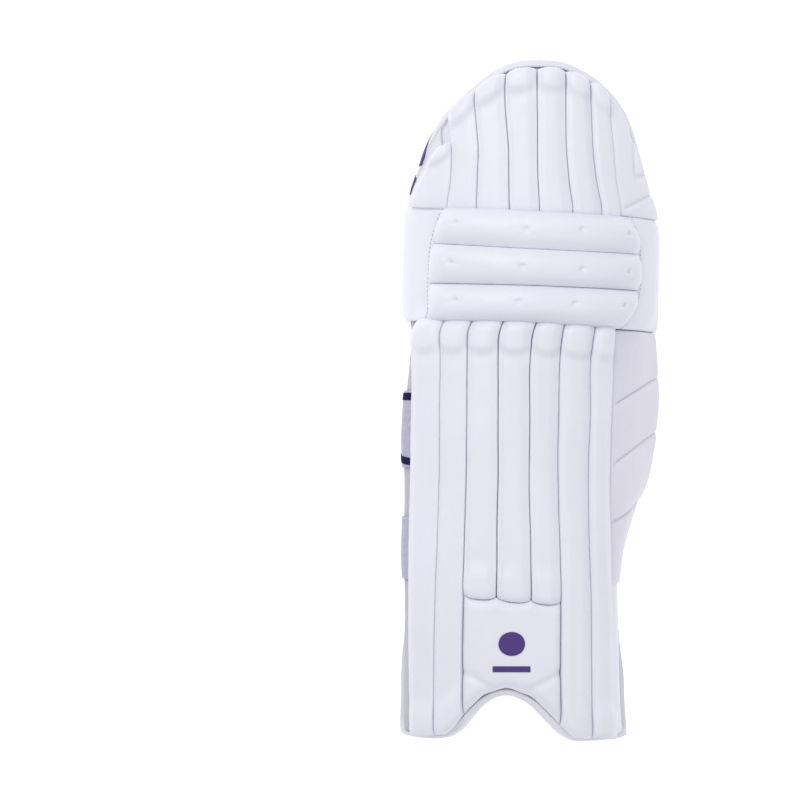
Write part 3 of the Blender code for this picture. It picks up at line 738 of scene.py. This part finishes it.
def make_bolster(number):
    """Make one bolster across the knee, with its dimples and puckers."""
    rows, places = grid_shares(44, 150)
    across = np.tile(1.2 * places - 0.6, (rows.size, 1))
    gap = seam_gap / pad_length
    for _ in range(6):
        low = knee_lines[number - 1](across) + gap
        high = knee_lines[number](across) - gap
        along = low + rows * (high - low)
        start = bolster_left(along)
        end = bolster_right(along)
        across = start + places * (end - start)
    width = (high - low) * length_mm
    length = (end - start) * girth(along, across) / millimetre
    w = 2 * rows - 1
    low_base, high_base, low_power, high_power = BOLSTER_FORMS[number]
    arch = np.clip(1 - np.abs(w) ** 2.2, 0, 1) ** np.where(w > 0, high_power, low_power)
    base = np.where(w > 0, high_base, low_base)
    peak = bolster_height / millimetre - 0.8
    from_end = np.minimum(places, 1 - places) * length
    taper = bolster_end_share + (1 - bolster_end_share) * round_edge(from_end + 0.5, 24)
    height = (base + (peak - base) * arch) * taper
    height = height + relief(along, across, (0.5, 34, 20, number), (0.12, 7, 6, number + 4))
    seam = ease(np.abs(w), 0.72, 0.97)
    height = height + seam * relief(along, across, (0.35, 4.5, 9, number + 8))
    side = ease(15 - from_end, 3, 13)
    height = height + side * relief(along, across, (0.35, 6, 4, number + 12))
    for place, share in DIMPLES[number]:
        dx = (places - place) * length
        dy = (rows - share) * width
        distance = np.sqrt(dx * dx + dy * dy)
        turn = np.arctan2(dy, dx)
        star = 1 + 0.35 * np.cos(5 * turn + place * 9)
        height = height - dimple_depth * bump(distance, 0, dimple_radius)
        height = height - pucker_depth * bump(distance, 0, pucker_radius) * star
    padded_piece(f"knee_bolster_{number}", along, across, height, leather)


def make_flap(name, sign):
    """Make a side of the knee panel, which turns down to the floor."""
    rows, places = grid_shares(60, 46)
    across = np.full((rows.size, places.size), sign * 0.6)
    ends = bolster_right if sign > 0 else bolster_left
    for _ in range(6):
        low = knee_lines[0](across) + end_gap_share
        high = knee_lines[3](across) - end_gap_share
        along = low + rows * (high - low)
        start = ends(along) + sign * seam_gap / girths[sign](along)
        floor = sign * floor_girths[sign](along) / girths[sign](along)
        across = start + places * (floor - start)
    if sign < 0:
        along = along[:, ::-1]
        across = across[:, ::-1]
        places = places[:, ::-1]
    length = np.abs(floor - start) * girths[sign](along) / millimetre
    width = (high - low) * length_mm
    near_end = np.minimum(rows, 1 - rows) * width
    form = 0.72 + 0.28 * round_edge(near_end, 8) * (0.72 + 0.28 * round_edge(places * length, 2.5))
    form = form * (0.55 + 0.45 * round_edge((1 - places) * length, 12))
    corner = ease(places, 0.35, 0.8) * (1 - round_edge((1 - rows) * width, 38))
    corner = np.maximum(corner, ease(places, 0.35, 0.8) * (1 - round_edge(rows * width, 22)))
    form = form * (1 - 0.55 * corner)
    rise = 2.6 * (1 - ease(places * length, 0, 26))
    height = (flap_height / millimetre + rise) * form
    height = height + relief(along, across, (0.45, 18, 30, 21), (0.15, 5, 6, 23))
    padded_piece(name, along, across, height, leather, thinnest=0.5)


def make_wing():
    """Make the quilted wing beside the shin."""
    per_segment = 34
    count = (len(WING_LINES) - 1) * per_segment + 1
    step = np.arange(count) / per_segment
    at_roll, at_edge = [np.interp(step, range(len(WING_LINES)), line) for line in zip(*WING_LINES)]
    places = edge_spaced(54)[None, :]
    curve = places + 0.10 * np.sin(np.pi * places)
    along = at_roll[:, None] + curve * (at_edge - at_roll)[:, None]
    start = shin_seams[7](along) + seam_gap / girths[1](along)
    across = start + places * (1 - start)
    length = (1 - start) * girths[1](along) / millimetre
    near_line = np.abs(step - np.round(step))[:, None] * np.gradient(along, axis=0)
    near_line = near_line * per_segment * length_mm
    inner_line = (np.round(step) > 0) & (np.round(step) < len(WING_LINES) - 1)
    groove = np.where(inner_line[:, None], 3.4, 0) * (1 - round_edge(near_line, 9))
    end = np.minimum(step, len(WING_LINES) - 1 - step)[:, None]
    near_end = end * np.gradient(along, axis=0) * per_segment * length_mm
    form = 0.50 + 0.50 * round_edge(places * length + 0.6, 7)
    form = form * (0.74 + 0.26 * round_edge(near_end, 8))
    form = form * (0.45 + 0.55 * round_edge((1 - places) * length, 9))
    form = form * (0.22 + 0.78 * ease(along, 0.24, 0.39))
    from_top = (0.604 - along) * length_mm
    form = form * (1 - 0.5 * ease(places, 0.35, 0.85) * (1 - round_edge(from_top, 34)))
    height = wing_height / millimetre * form - groove * ease(places, 0.0, 0.12)
    height = height + relief(along, across, (0.5, 20, 24, 31), (0.16, 6, 5, 33))
    # The wing takes the darker copy of the leather, which paints its shade
    padded_piece("side_wing", along, across, height, wing_leather_painted_shade)


def make_side_panel():
    """Make the panel between the last thigh roll and the binding."""
    rows, places = grid_shares(60, 30)
    across = np.full((rows.size, places.size), 0.6)
    for _ in range(6):
        low = knee_lines[3](across) + end_gap_share
        along = low + rows * (side_panel_top - low)
        start = thigh_seams[7](along) + seam_gap / girths[1](along)
        across = start + places * (np.maximum(thigh_limit(along, 1), start + 0.004) - start)
    length = np.abs(thigh_limit(along, 1) - start) * girths[1](along) / millimetre
    form = 0.45 + 0.55 * round_edge(places * length + 0.6, 6)
    form = form * (0.5 + 0.5 * round_edge((1 - places) * length, 5))
    form = form * (0.72 + 0.28 * round_edge(rows * 90, 7))
    points = front_points(along, across, np.zeros_like(along))
    height = side_panel_height / millimetre * form - 3.0 * crease_depth(points, SIDE_CREASES, 0.0019)
    height = height + relief(along, across, (0.25, 14, 20, 41))
    padded_piece("thigh_side_panel", along, across, height, leather)


def instep_shape(along, across, start, end, low, high):
    """Return the height of the instep pad, in mm."""
    place = (across - start) / (end - start)
    length = (end - start) * girth(along, across) / millimetre
    from_side = np.minimum(place, 1 - place) * length
    from_low = (along - low) * length_mm
    from_high = (high - along) * length_mm
    form = 0.46 + 0.54 * round_edge(from_side, 9) * (0.25 + 0.75 * round_edge(from_high, 12))
    form = form * (0.26 + 0.74 * round_edge(from_low, 14))
    points = front_points(along, across, np.zeros_like(along))
    height = instep_height / millimetre * form
    height = height - 2.6 * crease_depth(points, INSTEP_CREASES, 0.0042)
    height = height + relief(along, across, (0.4, 22, 22, 51), (0.12, 6, 6, 53))
    return np.maximum(height, 0.6)


def instep_limits(along, across):
    """Return the sides and the ends of the instep pad at shares of the length and girth."""
    inset = seam_gap / girth(along, across)
    start = seam_share(shin_seams, 2, along) + inset
    end = seam_share(shin_seams, 5, along) - inset
    return start, end, foot_inset(across, foot_tape(across)), middle_end(across) - 1.5 * end_gap_share


def make_instep():
    """Make the pad over the foot arch."""
    rows, places = grid_shares(84, 84)
    across = np.zeros((rows.size, places.size))
    along = np.full_like(across, 0.15)
    for _ in range(6):
        start, end, low, high = instep_limits(along, across)
        along = low + rows * (high - low)
        start, end, low, high = instep_limits(along, across)
        across = start + places * (end - start)
    height = instep_shape(along, across, start, end, low, high)
    padded_piece("instep_pad", along, across, height, leather)


def make_mark(name, centre_along, size_along, size_across, is_round):
    """Make a plain embroidered mark on the instep pad, a disc or a bar."""
    rows, places = grid_shares(26, 26)
    offset = 2 * rows - 1
    side = 2 * places - 1
    if is_round:
        row_share = offset * np.sqrt(np.maximum(1 - side * side / 2, 0))
        side_share = side * np.sqrt(np.maximum(1 - offset * offset / 2, 0))
    else:
        row_share = offset + 0 * side
        side_share = side + 0 * offset
    along = centre_along + row_share * size_along / 2 / pad_length
    start, end, low, high = instep_limits(along, np.zeros_like(along))
    middle = (start + end) / 2
    across = middle + side_share * size_across / 2 / girths[1](along)
    start, end, low, high = instep_limits(along, across)
    base = instep_shape(along, across, start, end, low, high) * millimetre + seat_gap
    rim = round_edge((1 - np.maximum(np.abs(offset), np.abs(side))) * size_along / 2, 0.0009)
    top = front_points(along, across, base + 0.0003 + mark_rise * rim)
    bottom = front_points(along, across, base + 0.00008)
    piece = closed_form(f"{name}_embroidery", top, bottom, satin)
    finish_piece(piece, name)


def make_side_tape():
    """Make the flat tape between the left binding of the thigh and the first roll."""
    low, high = SIDE_TAPE_ENDS
    places = edge_spaced(16)[None, :]
    along = np.linspace(low, high, 70)[:, None] + 0 * places
    start = thigh_limit(along, -1) + 0.0002 / girths[-1](along)
    open_width = thigh_seams[0](along) - 0.0003 / girths[-1](along) - start
    end = start + np.maximum(open_width * (1 - ease(along, 0.872, 0.912)), 0.004)
    across = start + places * (end - start)
    length = (end - start) * girths[-1](along) / millimetre
    height = 2.3 * (0.45 + 0.55 * round_edge(np.minimum(places, 1 - places) * length, 1.6))
    height = height + 0.12 * soft_noise(across * 30, along * 90, 81)
    padded_piece("thigh_side_tape", along, across, height, tape, ending="fold")


def make_accents():
    """Make the dark accents on the outer half of the thigh's left binding."""
    outline = thigh_outline()
    outline = outline[outline[:, 1] < 0]
    order = np.argsort(outline[:, 0])
    keys = outline[order, 0]
    side = inward_steps(outline)[order]
    for name, (low, high) in ACCENTS.items():
        along = np.linspace(low, high, 40)
        share = np.linspace(0, 1, 40)
        point = ease(share, 0, 0.12) * (1 - ease(share, 0.35, 1)) if "upper" in name else 1 + 0 * share
        inner = 0.90 - 0.86 * point
        edge = np.interp(along, keys, outline[order, 1])
        inward = [np.interp(along, keys, side[:, column])[:, None] for column in (0, 1)]
        turn = inner[:, None] + (0.98 - inner)[:, None] * np.linspace(0, 1, 12)[None, :]
        inset = thigh_tape_width * (1 - turn)
        top, bottom = [front_points(along[:, None] + inward[0] * inset, edge[:, None] + inward[1] * inset,
                                    binding_lift(turn) + lift) for lift in (0.0007, 0.0001)]
        piece = closed_form(f"{name}_patch", top, bottom, purple)
        finish_piece(piece, name)


def backing_grid():
    """Return the shares of the whole backing, from the foot edge to the top of the dome."""
    places = np.linspace(-1, 1, 141)[None, :]
    edge = foot_edge(places) + backing_inset / pad_length
    straight = np.linspace(0.14, 0.767, 150)[:, None]
    blend = np.linspace(0, 1, 34, endpoint=False)[:, None]
    foot = edge + blend * (0.14 - edge)
    body = straight + 0 * places
    dome = np.linspace(0.767, 0.9895, 90)[1:, None]
    along = np.concatenate([foot, body, dome + 0 * places])
    across = np.tile(places, (along.shape[0], 1))
    count = dome.shape[0]
    left = thigh_limit(dome, -1) - 0.0015 / girths[-1](dome)
    right = thigh_limit(dome, 1) + 0.0015 / girths[1](dome)
    across[-count:] = left + (places + 1) / 2 * (right - left)
    return along, across


def make_backing():
    """Make the curved sheet behind the padding, leather in front and lining behind, with a grey strip on
    the left side whose grey is painted shade.
    """
    along, across = backing_grid()
    outer = relief(along, across, (0.25, 14, 30, 61)) * millimetre
    inner = -backing_thickness + relief(along, across, (0.5, 26, 40, 63)) * millimetre
    top = front_points(along, across, outer - 0.0002)
    bottom = front_points(along, across, inner)
    piece = closed_form("back_panel_sheet", top, bottom, leather)
    mesh = piece.data
    mesh.materials.append(lining)
    mesh.materials.append(side_cloth_painted_shade)
    rows, columns = along.shape
    quads = (rows - 1) * (columns - 1)
    slots = np.zeros(len(mesh.polygons), dtype=np.int32)
    slots[quads:2 * quads] = 1
    middle_along = (along[1:, 1:] + along[:-1, :-1]) / 2
    middle_across = (across[1:, 1:] + across[:-1, :-1]) / 2
    # The strip on the left side takes the grey cloth, which paints the shade there
    painted_shade_strip = (middle_across < shade_strip_inner_edge) & (middle_along < shade_strip_top)
    slots[:quads][painted_shade_strip.ravel()] = 2
    mesh.polygons.foreach_set("material_index", slots)
    finish_piece(piece, "back_panel")


def flat_line(points):
    """Return a line of (along, across) shares laid flat, in metres, and the girth at its points."""
    reach = girth(points[:, 0], points[:, 1])
    return np.stack([points[:, 0] * pad_length, points[:, 1] * reach], axis=1), reach


def inward_steps(points):
    """Return steps of a metre, in shares, from an outline towards the padding."""
    flat, reach = flat_line(points)
    run = np.gradient(flat, axis=0)
    run = run / np.linalg.norm(run, axis=1)[:, None]
    return np.stack([run[:, 1] / pad_length, -run[:, 0] / reach], axis=1)


def resample(points, step):
    """Return a line of shares with points a fixed length apart."""
    flat = flat_line(points)[0]
    lengths = np.concatenate([[0], np.cumsum(np.linalg.norm(np.diff(flat, axis=0), axis=1))])
    places = np.linspace(0, lengths[-1], max(int(lengths[-1] / step), 2))
    return np.stack([np.interp(places, lengths, points[:, column]) for column in (0, 1)], axis=1)


def smooth_line(points, rounds):
    """Round off the corners of a line, with its ends where they are."""
    for _ in range(rounds):
        middle = (points[:-2] + 2 * points[1:-1] + points[2:]) / 4
        points = np.concatenate([points[:1], middle, points[-1:]])
    return points


def thigh_outline():
    """Return the thigh's outline from its right foot over the dome to its left foot."""
    right = [(row[0], row[2]) for row in THIGH_EDGE if row[0] > 0.772]
    left = [(row[0], row[1]) for row in reversed(THIGH_EDGE) if row[0] > 0.80]
    first = (0.7735, 0.905)
    last = (0.799, -0.945)
    return smooth_line(resample(np.array([first, *right, *left, last]), outline_step), 24)


def foot_outline():
    """Return the foot's outline, down the left side, across the foot and up the right side."""
    across = np.linspace(-0.995, 0.995, 300)
    foot = np.stack([foot_edge(across), across], axis=1)
    sides = [np.array([[foot_tape_tops[sign], sign * 0.995]]) for sign in (-1, 1)]
    return smooth_line(resample(np.concatenate([sides[0], foot, sides[1]]), outline_step), 14)


def binding_lift(turn):
    """Return how high the folded tape stands from its inner edge, 0, to its outer edge, 1."""
    arch = np.sqrt(np.maximum(1 - (2 * turn - 1) ** 2, 0)) ** 0.8
    return (tape_lift * arch - tape_outer_drop * np.maximum(turn - 0.5, 0)
            + tape_inner_rise * np.maximum(1 - 2 * turn, 0))


def make_binding(name, outline, widths, end_length):
    """Make the tape that is folded over an edge, with slight waves and ends that thin out."""
    side = inward_steps(outline)
    turns = np.linspace(0, 1, 15)
    top = []
    bottom = []
    places = np.arange(len(outline))
    from_end = np.minimum(places, places[::-1]) * outline_step
    thin = 0.12 + 0.88 * ease(from_end, 0, end_length)
    for turn in turns:
        inset = (widths * (1 - turn))[:, None]
        lift = binding_lift(turn) * thin
        shares = outline + side * inset
        wave = 0.00025 * soft_noise(places / 5, np.full(len(outline), turn * 2), 71)
        top.append(front_points(shares[:, 0], shares[:, 1], lift + wave * thin))
        bottom.append(front_points(shares[:, 0], shares[:, 1],
                                   wave - backing_thickness - 0.0006 * math.sin(math.pi * turn)))
    top = np.stack(top, axis=1)
    bottom = np.stack(bottom, axis=1)
    piece = closed_form(f"{name}_tape", top[:, ::-1], bottom[:, ::-1], tape)
    finish_piece(piece, name)


def strap_line(along, height, swell):
    """Return the line of a strap, from the first roll around the back to the right wall."""
    corner = strap_thickness + seat_gap
    y = (along - 0.5) * pad_length

    def arc_at(sign, level):
        arcs = np.linspace(0, 0.3, 1500)
        z = section_points(np.full_like(arcs, along), sign * arcs, 0)[:, 2]
        return float(np.interp(-level, -z, arcs))

    arcs = np.linspace(strap_top_share * girths[-1](along), arc_at(-1, corner), wall_columns)
    rise = swell * np.sin(np.linspace(0, math.pi, wall_columns)) ** 0.7
    left = section_points(np.full_like(arcs, along), -arcs, seat_gap / 2 + height + rise)
    level = strap_thickness - height
    radius = corner - level
    angles = np.linspace(0, math.pi / 2, 6)[1:]
    turn = np.stack([left[-1, 0] + radius * (1 - np.cos(angles)), np.full(5, y),
                     corner - radius * np.sin(angles)], axis=1)
    inner = section_points(np.array([along]), np.array([arc_at(1, corner)]),
                           -backing_thickness - seat_gap)[0, 0]
    floor_x = np.linspace(turn[-1, 0], inner - corner - strap_floor_margin, 30)[1:]
    floor = np.stack([floor_x, np.full(29, y), np.full(29, level)], axis=1)
    arcs = np.linspace(arc_at(1, strap_lift_height), arc_at(1, strap_grip_height), 12)
    depth = -backing_thickness - seat_gap - level
    right = section_points(np.full_like(arcs, along), arcs, depth)
    return np.concatenate([left, turn, floor, right])


def strap_face(low, high, side):
    """Return the outer face, side 1, or the inner face, side 0, of a strap with soft edges."""
    lines = []
    for share in STRAP_ROWS:
        along = low + (high - low) * share
        edge = round_edge(min(share, 1 - share) * (high - low) * pad_length, 0.003)
        half = strap_thickness / 2 * (0.35 + 0.65 * float(edge))
        height = strap_thickness / 2 + (half if side else -half)
        lines.append(strap_line(along, height, strap_swell * math.sin(math.pi * share ** 0.8)))
    return np.array(lines)


def make_strap(name, low, high):
    """Make a soft strap, which closes behind the leg."""
    piece = closed_form(f"{name}_band", strap_face(low, high, 1), strap_face(low, high, 0), webbing)
    finish_piece(piece, name)


def make_trim(name, start, slant):
    """Make a dark ribbon on the calf strap. It starts at a share of the strap's width."""
    face = strap_face(calf_strap_low, calf_strap_high, 1)[:, :wall_columns]
    normals = np.cross(np.gradient(face, axis=1), np.gradient(face, axis=0))
    normals = normals / np.linalg.norm(normals, axis=2)[..., None]
    normals = normals * np.sign(-normals[..., :1])
    top = []
    bottom = []
    for share in np.linspace(start, start + trim_width, 8):
        for lines, lift in ((top, 0.0007), (bottom, 0.0001)):
            line = []
            for column in range(1, wall_columns - 4):
                place = share + slant * column / wall_columns
                line.append([np.interp(place, STRAP_ROWS, (face + normals * lift)[:, column, axis])
                             for axis in range(3)])
            lines.append(line)
    piece = closed_form(f"{name}_ribbon", np.array(top), np.array(bottom), ribbon)
    finish_piece(piece, name)


def make_stitches(name, lines, material):
    """Make rows of stitches as one mesh. Each line has its points, pitch and thickness."""
    points = []
    faces = []
    sides = 6
    ring_shares = (-1.0, -0.72, 0.0, 0.72, 1.0)
    ring_sizes = (0.25, 0.8, 1.0, 0.8, 0.25)
    for line, pitch, thickness in lines:
        lengths = np.concatenate([[0], np.cumsum(np.linalg.norm(np.diff(line, axis=0), axis=1))])
        count = int(lengths[-1] / pitch)
        for number in range(count):
            ends = [(number + 0.5 + shift) * lengths[-1] / count for shift in (-0.33, 0.33)]
            start, end = [np.array([np.interp(place, lengths, line[:, axis]) for axis in range(3)])
                          for place in ends]
            run = (end - start) / 2
            middle = (start + end) / 2
            ahead = run / np.linalg.norm(run)
            up = np.array([0.0, 0.0, 1.0])
            across = np.cross(ahead, up)
            across = across / max(np.linalg.norm(across), 1e-6)
            up = np.cross(across, ahead)
            first = len(points)
            for share, size in zip(ring_shares, ring_sizes):
                sag = -0.3 * thickness * share * share
                for k in range(sides):
                    angle = 2 * math.pi * k / sides
                    offset = across * math.cos(angle) + up * math.sin(angle)
                    points.append(middle + run * share + up * sag + offset * thickness / 2 * size)
            for ring in range(len(ring_shares) - 1):
                for k in range(sides):
                    here = first + ring * sides
                    after = (k + 1) % sides
                    faces.append((here + k, here + after, here + sides + after, here + sides + k))
            last = first + (len(ring_shares) - 1) * sides
            faces.append(tuple(first + k for k in reversed(range(sides))))
            faces.append(tuple(last + k for k in range(sides)))
    piece = add_mesh(name, [tuple(point) for point in points], faces, material)
    finish_piece(piece, None)


def bolster_stitches(side):
    """Return the line of stitches beside the bolsters' ends, on the left, -1, or the right, 1."""
    along = np.linspace(0.622, 0.778, 90)
    ends = bolster_right if side > 0 else bolster_left
    across = ends(along) + side * 0.0030 / girths[side](along)
    points = front_points(along, across, bolster_stitch_heights[side])
    return points, bolster_pitch, thick_stitch


def make_seam_stitches(thigh_line, foot_line):
    """Make the stitches that show along the seams, the quilt lines and the bindings."""
    lines = [bolster_stitches(1)]
    places = np.linspace(0.04, 0.98, 80)
    curve = places + 0.10 * np.sin(np.pi * places)
    for at_roll, at_edge in WING_LINES[1:-1]:
        along = at_roll + curve * (at_edge - at_roll)
        start = shin_seams[7](along)
        across = start + places * (1 - start)
        lines.append((front_points(along, across, wing_stitch_height), bolster_pitch, thin_stitch))
    for outline, widths in ((thigh_line, thigh_tape_width), (foot_line, foot_tape(foot_line[:, 1:]))):
        shares = (outline + inward_steps(outline) * widths * 0.80)[25:-25]
        points = front_points(shares[:, 0], shares[:, 1], tape_stitch_height)
        lines.append((points, tape_pitch, thin_stitch))
    make_stitches("seam_stitches", lines, thread)
    # These stitches are grey: painted shade of the stitch holes along these seams
    lines = [bolster_stitches(-1)]
    along = np.linspace(0.06, 0.545, 200)
    for index, height in SHIN_STITCHES.items():
        across = seam_share(shin_seams, index, along)
        lines.append((front_points(along, across, height), shin_pitch, thick_stitch))
    make_stitches("stitches_painted_shade", lines, thread_painted_shade)


make_backing()
make_shin_rolls()
make_thigh_rolls()
for bolster in (1, 2, 3):
    make_bolster(bolster)
make_flap("knee_flap_left", -1)
make_flap("knee_flap_right", 1)
make_wing()
make_side_panel()
make_instep()
make_mark("instep_mark_disc", mark_disc_along, 2 * mark_radius, 2 * mark_radius, True)
make_mark("instep_mark_bar", mark_bar_along, mark_bar_width, mark_bar_length, False)
make_accents()
thigh_line = thigh_outline()
foot_line = foot_outline()
make_binding("thigh_binding", thigh_line, np.full(len(thigh_line), thigh_tape_width), end_length=0.006)
make_binding("foot_binding", foot_line, foot_tape(foot_line[:, 1]), end_length=0.05)
make_side_tape()
make_strap("calf_strap", calf_strap_low, calf_strap_high)
make_strap("ankle_strap", ankle_strap_low, ankle_strap_high)
make_trim("strap_trim_low", start=0.03, slant=0.08)
make_trim("strap_trim_high", start=0.97 - trim_width, slant=0.0)
make_seam_stitches(thigh_line, foot_line)


def make_floor():
    """Make the plain pale floor that the pad lies on."""
    corners = [(x * floor_reach, y * floor_reach, floor_level)
               for x, y in ((-1, -1), (1, -1), (1, 1), (-1, 1))]
    material, _, shader = shaded("floor_white", (0.93, 0.93, 0.93), 0.9)
    set_input(shader, "Emission Color", (1, 1, 1, 1))
    set_input(shader, "Emission Strength", 0.42)
    add_mesh("floor", corners, [(0, 1, 2, 3)], material)


def add_light(name, place, aim, size, power):
    """Add a soft square light that points at a place."""
    light = bpy.data.lights.new(name, "AREA")
    light.size = size
    light.energy = power
    holder = add_object(name, light)
    holder.location = place
    run = [a - b for a, b in zip(aim, place)]
    flat = math.hypot(run[0], run[1])
    holder.rotation_euler = (math.atan2(flat, -run[2]), 0, math.atan2(-run[0], run[1]))


def make_studio():
    """Make the lights, the pale surround and the camera."""
    make_floor()
    add_light("key_light", (-0.8, 1.45, 2.2), aim=(0, 0, 0), size=1.5, power=26)
    add_light("fill_light", (0.9, -1.0, 2.4), aim=(0, 0, 0), size=2.2, power=10)
    world = bpy.data.worlds.new("studio")
    world.use_nodes = True
    background = world.node_tree.nodes["Background"]
    set_input(background, "Color", (0.97, 0.97, 1.0, 1))
    set_input(background, "Strength", 0.62)
    bpy.context.scene.world = world
    bpy.context.scene.view_settings.view_transform = "Standard"
    camera = bpy.data.cameras.new("camera")
    camera.sensor_width = sensor_width
    camera.lens = sensor_width * camera_distance / (photo_size * millimetre)
    camera.clip_end = 20
    holder = add_object("camera", camera)
    holder.location = ((photo_middle - photo_origin[0]) * millimetre,
                       (photo_origin[1] - photo_middle) * millimetre,
                       scale_height + camera_distance)
    bpy.context.scene.camera = holder


make_studio()
